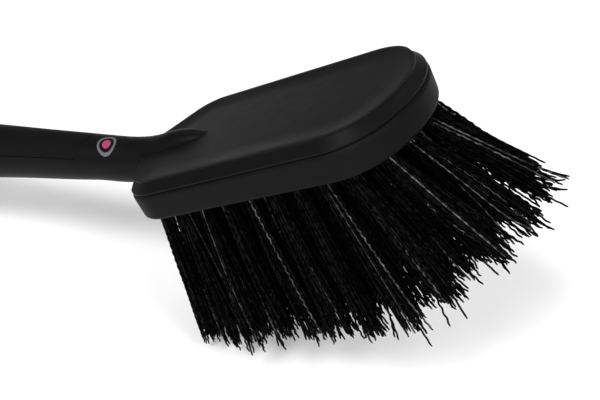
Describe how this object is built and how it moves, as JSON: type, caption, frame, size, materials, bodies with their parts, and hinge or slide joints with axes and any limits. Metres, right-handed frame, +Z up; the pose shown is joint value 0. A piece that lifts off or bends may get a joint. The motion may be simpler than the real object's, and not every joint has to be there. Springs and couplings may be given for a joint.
{
  "type": "wheel brush",
  "caption": "Hand-held wheel brush with a bowed handle, a flat rounded head with a soft rim, and dense crimped black bristles that fan out from heel to toe.",
  "frame": {"origin": "middle of the brush's outer box, on the surface it rests on, in its own resting pose", "axes": "+X from the end of the handle to the toe of the head, +Y across the brush, +Z up from the surface it rests on"},
  "size_m": [0.3322, 0.0632, 0.1097],
  "materials": {
    "hard_plastic": "fine moulded texture, satin",
    "soft_rubber": "matte soft-touch",
    "bristle": "glossy crimped filament",
    "staple_wire": "flat drawn wire"
  },
  "bodies": {
    "root": {"brush_body": "hard_plastic", "rim_bumper": "soft_rubber", "handle_grip": "soft_rubber", "tufts_row_01": "bristle", "tufts_row_02": "bristle", "tufts_row_03": "bristle", "tufts_row_04": "bristle", "tufts_row_05": "bristle", "tufts_row_06": "bristle", "tufts_row_07": "bristle", "tufts_row_08": "bristle", "tufts_row_09": "bristle", "tufts_row_10": "bristle", "tufts_row_11": "bristle", "staples_row_01": "staple_wire", "staples_row_02": "staple_wire", "staples_row_03": "staple_wire", "staples_row_04": "staple_wire", "staples_row_05": "staple_wire", "staples_row_06": "staple_wire", "staples_row_07": "staple_wire", "staples_row_08": "staple_wire", "staples_row_09": "staple_wire", "staples_row_10": "staple_wire", "staples_row_11": "staple_wire"}
  },
  "joints": []
}
